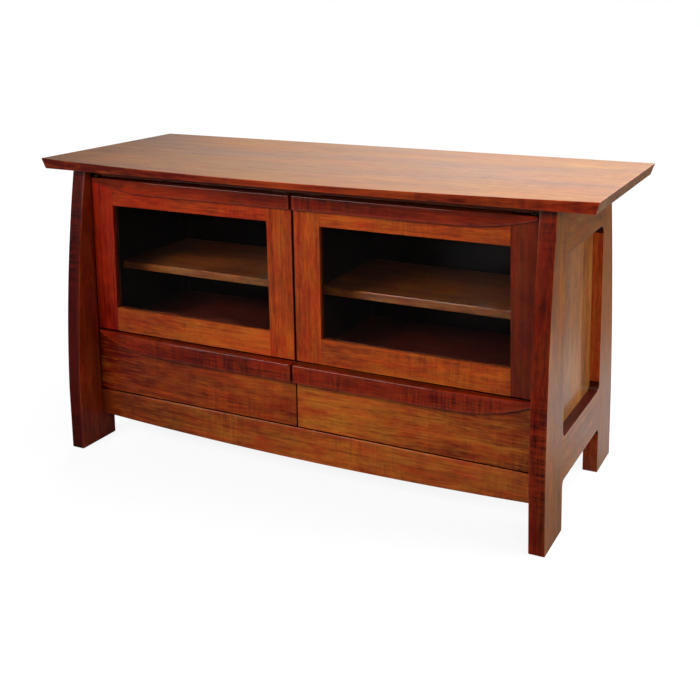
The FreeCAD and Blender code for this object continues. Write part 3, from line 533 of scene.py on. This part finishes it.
def plated_steel(name, tint, turn):
    """Zinc-plated steel with drawing lines along one axis and faint cloudy patches in the plating."""
    made, tree, shader = new_finish(name)
    place = node(tree, "Mapping", Vector=node(tree, "TexCoord").outputs["Object"], Rotation=turn).outputs[0]
    lines = noise(tree, place, (40.0, 2500.0, 2500.0), 2.0)
    clouds = noise(tree, place, (60.0, 60.0, 60.0), 3.0)
    darker = tuple(CLOUD_TONE * channel for channel in tint)
    colour = blended(tree, ranged(tree, clouds, 0.35, 0.65), (*darker, 1), (*tint, 1))
    tree.links.new(colour, shader["Base Color"])
    dulled = ranged(tree, clouds, 0.3, 0.7, 0.2, 0.32)
    tree.links.new(sums(tree, "MULTIPLY_ADD", lines, 0.25, dulled), shader["Roughness"])
    relief = node(tree, "Bump", Strength=0.15, Distance=0.0001, Height=lines).outputs[0]
    tree.links.new(relief, shader["Normal"])
    shader["Metallic"].default_value = 1.0
    return made


zinc = plated_steel("zinc_plated_steel", (0.62, 0.61, 0.57), ALONG_X)
nodes["shelf_pins"].material_slots[0].material = zinc

# Pivot hinges and catches: each door turns on two short pins in let-in steel plates, one above and one
# below. A moulded catch with a magnet holds a small steel strike on the door and stops it.

CATCH_EASE = 0.001
CATCH_BROWN = (0.055, 0.028, 0.016)
PALER_TONE = 1.5
bronzed = plated_steel("bronzed_steel", (0.060, 0.045, 0.035), ALONG_X)
nodes["pivot_plates"].material_slots[0].material = bronzed
for side in SIDES:
    nodes[side + "_door_pivot_sockets"].material_slots[0].material = bronzed
    nodes[side + "_door_strike_plate"].material_slots[0].material = bronzed


def moulded_plastic(name, tint):
    """Matt moulded plastic: fine spark texture, slight unevenness of tone and shine."""
    made, tree, shader = new_finish(name)
    place = node(tree, "TexCoord").outputs["Object"]
    spark = noise(tree, place, (2200.0, 2200.0, 2200.0), 2.0)
    cloud = noise(tree, place, (90.0, 90.0, 90.0), 2.0)
    paler = tuple(PALER_TONE * channel for channel in tint)
    colour = blended(tree, cloud, (*tint, 1), (*paler, 1))
    tree.links.new(colour, shader["Base Color"])
    tree.links.new(ranged(tree, spark, 0.3, 0.7, 0.42, 0.6), shader["Roughness"])
    relief = node(tree, "Bump", Strength=0.3, Distance=0.0001, Height=spark).outputs[0]
    tree.links.new(relief, shader["Normal"])
    return made


eased("door_catches", moulded_plastic("catch_plastic", CATCH_BROWN), CATCH_EASE)

# Door frames: stiles run the full height with upright grain, rails lie between them, all tenoned and
# sanded flush. Every board was picked from the stack, so each has its own tone.

GOLDEN = ((0.085, 0.004, 0.001), (0.40, 0.058, 0.005))
AMBER = ((0.085, 0.005, 0.001), (0.42, 0.072, 0.006))
RUSSET = ((0.10, 0.003, 0.001), (0.42, 0.040, 0.004))
RED = ((0.085, 0.002, 0.0005), (0.32, 0.018, 0.003))
BROWN = ((0.045, 0.003, 0.0008), (0.17, 0.018, 0.003))
EDGE_EASE = 0.001
CENTER_GAP = 0.0030
STILE_FIGURE, RAIL_FIGURE = 0.15, 0.8
NEXT_BOARD = (1.9, 0.7, 0.4)
door_boards = {
    "left": {"hinge_stile": (RED, -0.16), "meeting_stile": (GOLDEN, 0.04), "top_rail": (RUSSET, 0.05),
             "bottom_rail": (AMBER, (-0.5, -0.1, 0.0, 0.3))},
    "right": {"hinge_stile": (BROWN, -0.02), "meeting_stile": (GOLDEN, 0.06), "top_rail": (AMBER, 0.12),
              "bottom_rail": (AMBER, 0.1)},
}
for side, sign in SIDES.items():
    for number, (board, ((deep, pale), tone)) in enumerate(door_boards[side].items()):
        upright = "stile" in board
        lean = sign * LEAN if board == "hinge_stile" else 0
        turn = (0, math.pi / 2 + lean, 0) if upright else ALONG_X
        start = (NEXT_BOARD[0] * number + sign, NEXT_BOARD[1] * number, NEXT_BOARD[2] * sign)
        figure = STILE_FIGURE if upright else RAIL_FIGURE
        finish = wood(f"{side}_door_{board}_wood", deep, pale, figure=figure, tone=tone, turn=turn,
                      start=start, gap=(FRONT - GAP_FADE, CASE_FRONT, CENTER_GAP, RAIL_TOP))
        eased(f"{side}_door_{board}", finish, EDGE_EASE)

# Glass: one clear pane in each door, dropped into a rabbet from behind and held by four thin beads.
# It is clean but for faint wiping marks.

CLEAR, WIPED = (0.80, 0.80, 0.81, 1), (0.76, 0.76, 0.77, 1)
GLASS_SHADOW = (0.32, 0.33, 0.35, 1)
GLASS_INDEX = 1.12
BEAD_EASE = 0.0006
glass, tree, shader = new_finish("clear_glass")
place = node(tree, "TexCoord").outputs["Object"]
wipes = noise(tree, place, (9.0, 9.0, 30.0), 4.0)
tree.links.new(ranged(tree, wipes, 0.45, 0.75, 0.0, 0.05), shader["Roughness"])
tree.links.new(blended(tree, ranged(tree, wipes, 0.4, 0.7), CLEAR, WIPED), shader["Base Color"])
shader["Transmission Weight"].default_value = 1.0
shader["IOR"].default_value = GLASS_INDEX
lit = node(tree, "BsdfTransparent", Color=GLASS_SHADOW).outputs[0]
shadow = node(tree, "LightPath").outputs["Is Shadow Ray"]
both = node(tree, "MixShader", i0=shadow, i1=tree.nodes["Principled BSDF"].outputs[0], i2=lit).outputs[0]
tree.links.new(both, tree.nodes["Material Output"].inputs["Surface"])
bead_wood = wood("bead_wood", (0.05, 0.009, 0.005), (0.17, 0.035, 0.012), turn=ALONG_X)
for side in SIDES:
    nodes[side + "_door_glass"].material_slots[0].material = glass
    eased(side + "_door_glass_beads", bead_wood, BEAD_EASE)

# Pulls: dark strips glued along the tops of doors and drawers. Each is deepest and stands out furthest
# at the middle of the stand, then sweeps away to the side; the long edges are rounded for the fingers.

SIDE_GAP = 0.003
FRONT_EDGE = LEG_THICKNESS + SIDE_GAP
PULL_START = 0.00375
PULL_END_GAP = 0.005
PLAN_STRAIGHT = 0.5
FRONT_STRAIGHT = 0.7
PULL_EASE = 0.0024
PULL_END_EASE = 0.0012
PULL_STEPS = 90
pull_sizes = {
    # kind: top level, deep and shallow height, far and near reach
    "door": (0.720, 0.033, 0.009, 0.010, 0.004),
    "drawer": (0.3175, 0.045, 0.009, 0.025, 0.005),
}


def swept(first, last, straight, far):
    """A size that holds over the straight share of a pull, then falls along an arc to its last value."""
    def size(x):
        bend = PULL_START + straight * (far - PULL_START)
        radius = ((far - bend) ** 2 + (first - last) ** 2) / (2 * (first - last))
        run = np.clip(np.abs(x) - bend, 0, far - bend)
        return first - radius + np.sqrt(radius ** 2 - run ** 2)
    return size


# Door pulls are coloured paler than the drawer pulls: painted light for strips that sit in the shade under
# the top's overhang.
pull_tones_and_painted_light = {"door": 0.1, "drawer": -0.06}
for kind, (top, height, end_height, reach, end_reach) in pull_sizes.items():
    pull_wood = wood(kind + "_pull_wood", (0.045, 0.0014, 0.0005), (0.25, 0.020, 0.002), figure=1.5,
                     contrast=0.3, boards=(0.31, WHOLE, WHOLE), tone=pull_tones_and_painted_light[kind], lacquer=0.12,
                     gloss=0.08, shine=2.0)
    for side, sign in SIDES.items():
        far = side_x(FRONT_EDGE + PULL_END_GAP, top)
        depth = swept(height, end_height, FRONT_STRAIGHT, far)
        stand = swept(reach, end_reach, PLAN_STRAIGHT, far)
        ends = (PULL_START, far) if sign > 0 else (-far, -PULL_START)
        name = f"{side}_{kind}_pull"
        pull = eased_bar(name + "_strip", "yzx", ends, (lambda x, stand=stand: FRONT - stand(x), FRONT),
                         (lambda x, top=top, depth=depth: top - depth(x), top),
                         (JOINT_EASE, PULL_EASE, PULL_EASE, JOINT_EASE), PULL_END_EASE, PULL_STEPS)
        finished(pull, pull_wood, f"{side}_{kind}", name)

# Drawers: a box of pale maple with a plywood tray let into grooves, closed in front by a wide board of
# the same stained maple as the doors. It runs on ball-bearing slides, so the front hangs free all round.

front_stains = {
    "left": ((0.06, 0.002, 0.0008), (0.34, 0.056, 0.006), (-0.6, -0.25, -0.42, 0.12)),
    "right": ((0.09, 0.007, 0.001), (0.42, 0.096, 0.010), (0.2, 0.6, 0.18, -0.08)),
}
BOX_DEEP = (0.42, 0.25, 0.115)
BOX_PALE = (0.66, 0.47, 0.27)
BOX_BOARDS = (WHOLE, 0.07, WHOLE)
BOX_EASE, TRAY_EASE = 0.0012, 0.0008
FRONT_SHIFT = 0.21
box_finish = {"figure": 0.2, "contrast": 0.2, "warmth": 0.1, "gloss": 0.3}
box_wood = wood("drawer_box_wood", BOX_DEEP, BOX_PALE, BOX_BOARDS, turn=ALONG_Y, **box_finish)
back_wood = wood("drawer_back_wood", BOX_DEEP, BOX_PALE, BOX_BOARDS, turn=ALONG_X, **box_finish)
slide_steel = plated_steel("slide_steel", (0.55, 0.56, 0.57), ALONG_Y)
for side, sign in SIDES.items():
    drawer = side + "_drawer"
    deep, pale, tone = front_stains[side]
    front_wood = wood(drawer + "_front_wood", deep, pale, (0.37, WHOLE, WHOLE), figure=0.6, contrast=0.25,
                      tone=tone, turn=ALONG_X, start=(FRONT_SHIFT * sign, sign, 0),
                      gap=(FRONT + EDGE_EASE, CASE_FRONT, HALF_FOOT, RAIL_TOP))
    eased(drawer + "_front", front_wood, EDGE_EASE)
    for part in ("left_side", "right_side"):
        eased(f"{drawer}_{part}", box_wood, BOX_EASE)
    for part in ("back", "bottom"):
        eased(f"{drawer}_{part}", back_wood, TRAY_EASE)
    for part in ("slide_middles", "slide_runners"):
        nodes[f"{drawer}_{part}"].material_slots[0].material = slide_steel
nodes["drawer_slide_rails"].material_slots[0].material = slide_steel

# Top: wide boards glued edge to edge into one panel. The front is sawn to a bow, the edges slope in
# underneath, and a flat bevel planed under the bow from corner to corner leaves it thinnest at the middle.
# It is screwed from below, and its lacquer is rubbed to a higher shine than the rest.

TOP_HALF = 0.7055
TOP_FRONT, TOP_BACK = -0.2475, 0.293
TOP_LEVEL = 0.765
TOP_BOW = 0.060
TOP_UNDERCUT = 0.007
FRONT_UNDERCUT = 0.005
BEVEL_RISE = 0.011
TOP_EASE = 0.0013
TOP_CORNER = 0.002
LIP_BAND = 0.003
END_STAIN = -3.0
FRONT_STEPS = 62
front_arc = arc_over(TOP_HALF, TOP_BOW)
swing = np.linspace(0, math.pi / 2, CORNER_POINTS)
front_run = np.linspace(-1, 1, FRONT_STEPS)[1:-1]


def top_ring(inset, share, offset, bowed=1):
    """Closed line round the top, drawn in by an inset, from the front left corner by the right.

    It starts as a rectangle with round corners, each a quarter circle centre + r (cos t, sin t). Its
    height is a share of the way from the underside, which rises with the bow in front, to the upper
    face, and an offset more. Points slope in with their depth below the upper face, and the front
    points then go out by the bow.
    """
    half, near, far = TOP_HALF - inset, TOP_FRONT + inset, TOP_BACK - inset
    bend = TOP_CORNER - inset / 2 if inset < TOP_CORNER else TOP_CORNER / 2
    out, back = bend * np.sin(swing), bend * np.cos(swing)
    x = np.concatenate([-half + bend - back, front_run * (half - bend), half - bend + out,
                        half - bend + back, -half + bend - out])
    y = np.concatenate([near + bend - out, np.full_like(front_run, near), near + bend - back,
                        far - bend + out, far - bend + back])
    in_front = y < 0
    bow = bowed * in_front * front_arc(x)
    under = UNDER_TOP + BEVEL_RISE * bow / TOP_BOW
    z = under + share * (TOP_LEVEL - under) + offset
    depth = (TOP_LEVEL - z) / (TOP_LEVEL - UNDER_TOP)
    y = y + depth * np.where(in_front, FRONT_UNDERCUT, -TOP_UNDERCUT) - bow
    return np.stack([x * (1 - depth * TOP_UNDERCUT / TOP_HALF), y, z], axis=1)


closing = 1 - np.sin(swing)
opening = 1 - np.cos(swing)
rings = [top_ring(EDGE_BAND, 0, 0, bowed=0)]
rings += [top_ring(TOP_EASE * inset, 0, TOP_EASE * lift) for inset, lift in zip(closing, opening)]
rings += [top_ring(0, 0, TOP_EASE + LIP_BAND), top_ring(0, 1, -TOP_EASE - LIP_BAND)]
rings += [top_ring(TOP_EASE * inset, 1, -TOP_EASE * drop) for inset, drop in zip(opening, closing)]
rings += [top_ring(TOP_EASE + EDGE_BAND, 1, 0)]
rings = np.stack(rings)
rub = rub_over(swing)
rub_up = np.concatenate([[0], rub, [0, 0], rub, [0]])
corner_rub = np.sin(2 * swing)
rub_round = np.concatenate([corner_rub, np.zeros_like(front_run), corner_rub, corner_rub, corner_rub])
edge = np.maximum(rub_up[:, None], rub_round[None, :])
at_ends = np.abs(rings[0, :, 0]) > TOP_HALF - 2 * EDGE_BAND
edge[-1 - len(swing):-1, at_ends] *= END_STAIN
edge[[0, -1]] = 0
verts = rings.reshape(-1, 3)
BOLD_FIGURE = np.array([0.4, 0.6, 0.6])
top = surfaced("top_panel_shaped", verts, ring_faces(*rings.shape[:2]), verts * BOLD_FIGURE, edge)
# The top face is coloured paler and more golden than the boards below, partly a painted sheen of its
# lacquer, and darker towards its left end, painted shade where the light falls off. Its front edge is also
# darker towards the left.
top_wood = wood("top_wood", (0.16, 0.046, 0.007), (0.41, 0.150, 0.024), (WHOLE, 0.07, WHOLE), figure=0.6,
                contrast=0.15, warmth=0.4, tone=(-0.7, -0.4, -0.28, 0.15), lacquer=1.0, gloss=0.2)
top_edge_wood = wood("top_edge_wood", (0.07, 0.003, 0.001), (0.36, 0.046, 0.006), (0.09, WHOLE, WHOLE),
                     figure=1.2, contrast=0.5, tone=(-0.7, -0.2, -0.38, -0.06), lacquer=0.2)
top_end_wood = wood("top_end_wood", (0.03, 0.010, 0.004), (0.22, 0.095, 0.034), tone=0.1, lacquer=0.4)
finished(top, top_wood, "case", "top_panel")
refinish(top, top_edge_wood, lambda x, y, z: z < EDGE_SLOPE)
refinish(top, top_end_wood, lambda x, y, z: np.abs(x) > EDGE_SLOPE)

# Studio: a pale floor and backdrop that show white, a bright wall of soft light behind the stand that
# gives the lacquer its sheen, and large soft lamps above. The camera stands to the right, looking down.

# each glow: a direction from and to, and the brightness there
BEHIND_GLOW = (-0.3, 0.7, 0.05, 1.0)
LOW_GLOW = (-0.45, 0.1, 0.3, 1.0)
LEFT_GLOW = (-0.68, -0.34, 0.17, 0.80)
HIGH_GLOW = (0.14, 0.20, 1.0, 0.72)


def shown_white(tree):
    """The light path, and a mask of the rays that see white: the camera's, straight or through glass."""
    path = node(tree, "LightPath").outputs
    bounces = sums(tree, "ADD", path["Diffuse Depth"], path["Glossy Depth"])
    straight = sums(tree, "LESS_THAN", bounces, 0.5)
    through = sums(tree, "MULTIPLY", path["Is Transmission Ray"], straight)
    return path, sums(tree, "MAXIMUM", path["Is Camera Ray"], through)


world = bpy.data.worlds.new("studio")
bpy.context.scene.world = world
world.use_nodes = True
tree = world.node_tree
aim = node(tree, "SeparateXYZ", Vector=node(tree, "TexCoord").outputs["Generated"]).outputs
glow = ranged(tree, aim["Y"], *BEHIND_GLOW)
for axis, change in (("Z", LOW_GLOW), ("X", LEFT_GLOW), ("Z", HIGH_GLOW)):
    glow = sums(tree, "MULTIPLY", glow, ranged(tree, aim[axis], *change))
path, seen = shown_white(tree)
level = node(tree, "Mix", {"data_type": "FLOAT"}, Factor=seen, i2=glow, i3=1.0).outputs[0]
tree.links.new(level, tree.nodes["Background"].inputs["Strength"])
tree.nodes["Background"].inputs["Color"].default_value = (1, 1, 1, 1)

FLOOR_HALF = 40.0
FLOOR_GREY = (0.12, 0.12, 0.12, 1)
# how bright the lacquer mirrors the floor, and the depths behind the stand where that rises and falls
GLOSSY_SHARE, BRIGHT_SHARE = 0.06, 0.42
BRIGHT_FROM, BRIGHT_TO = (0.05, 0.4), (0.9, 1.5)
# a distance from and to, and how white the floor looks there
WHITENING = (0.8, 2.5, 0.88, 1.0)
corners = FLOOR_HALF * np.array([(-1, -1, 0), (1, -1, 0), (1, 1, 0), (-1, 1, 0)], float)
sheet = bpy.data.meshes.new("studio_floor")
sheet.from_pydata(corners, [], [(0, 1, 2, 3)])
floor = bpy.data.objects.new("studio_floor", sheet)
bpy.context.scene.collection.objects.link(floor)
pale = bpy.data.materials.new("pale_floor")
pale.use_nodes = True
tree = pale.node_tree
tree.nodes.remove(tree.nodes["Principled BSDF"])
path, seen = shown_white(tree)
place = node(tree, "TexCoord").outputs["Object"]
depth = node(tree, "SeparateXYZ", Vector=place).outputs["Y"]
mirrored = sums(tree, "MULTIPLY", ranged(tree, depth, *BRIGHT_FROM, GLOSSY_SHARE, 1.0),
                ranged(tree, depth, *BRIGHT_TO, BRIGHT_SHARE, GLOSSY_SHARE))
seen = sums(tree, "MAXIMUM", seen, sums(tree, "MULTIPLY", path["Is Glossy Ray"], mirrored))
matt = node(tree, "BsdfDiffuse", Color=FLOOR_GREY).outputs[0]
away = node(tree, "VectorMath", {"operation": "LENGTH"}, i0=place).outputs["Value"]
white = ranged(tree, away, *WHITENING)
shine = node(tree, "Emission", Strength=sums(tree, "MULTIPLY", seen, white)).outputs[0]
both = node(tree, "AddShader", i0=matt, i1=shine).outputs[0]
tree.links.new(both, tree.nodes["Material Output"].inputs["Surface"])
sheet.materials.append(pale)


def lamp(name, place, target, size, power, mirrored=False):
    """Soft rectangular lamp that faces a target. Only a mirrored one shows as a highlight in the lacquer."""
    light = bpy.data.lights.new(name, "AREA")
    light.shape = "RECTANGLE"
    light.size, light.size_y = size
    light.energy = power
    made = bpy.data.objects.new(name, light)
    made.location = place
    made.visible_glossy = mirrored
    made.rotation_euler = (Vector(target) - Vector(place)).to_track_quat("-Z", "Y").to_euler()
    bpy.context.scene.collection.objects.link(made)


lamp("key", (-0.9, -2.9, 2.2), (0, 0, 0.4), (1.1, 0.9), 83)
lamp("low", (-1.5, -2.9, 1.2), (0, 0, 0.5), (1.8, 0.5), 20, mirrored=True)
lamp("crown", (1.1, 0.4, 2.1), (0.4, 0, 0.76), (1.2, 1.0), 54, mirrored=True)
lamp("side", (3.0, 0.2, 1.1), (0.6, 0, 0.4), (1.4, 1.4), 46)
lamp("fill", (2.4, -2.4, 1.6), (0, 0, 0.4), (1.2, 1.2), 35)
lamp("rear", (-2.2, 2.8, 1.5), (-0.2, 0, 0.4), (1.4, 1.2), 60)

SENSOR = 36.0
FOCAL_PIXELS, IMAGE_PIXELS = 1005, 700
EYE = (1.1432, -2.1711, 1.1347)
YAW, PITCH, ROLL = -26.97, 19.18, -0.43
camera = bpy.data.cameras.new("camera")
camera.sensor_width = SENSOR
camera.lens = SENSOR * FOCAL_PIXELS / IMAGE_PIXELS
eye = bpy.data.objects.new("camera", camera)
yaw, pitch, roll = (math.radians(angle) for angle in (YAW, PITCH, ROLL))
ahead = Vector((math.sin(yaw) * math.cos(pitch), math.cos(yaw) * math.cos(pitch), -math.sin(pitch)))
right = Vector((math.cos(yaw), -math.sin(yaw), 0))
up = right.cross(ahead)
image_x = math.cos(roll) * right + math.sin(roll) * up
image_y = math.cos(roll) * up - math.sin(roll) * right
turned = Matrix((image_x, image_y, -ahead)).transposed().to_4x4()
eye.matrix_world = Matrix.Translation(EYE) @ turned
bpy.context.scene.collection.objects.link(eye)
bpy.context.scene.camera = eye
bpy.context.scene.view_settings.view_transform = "Standard"
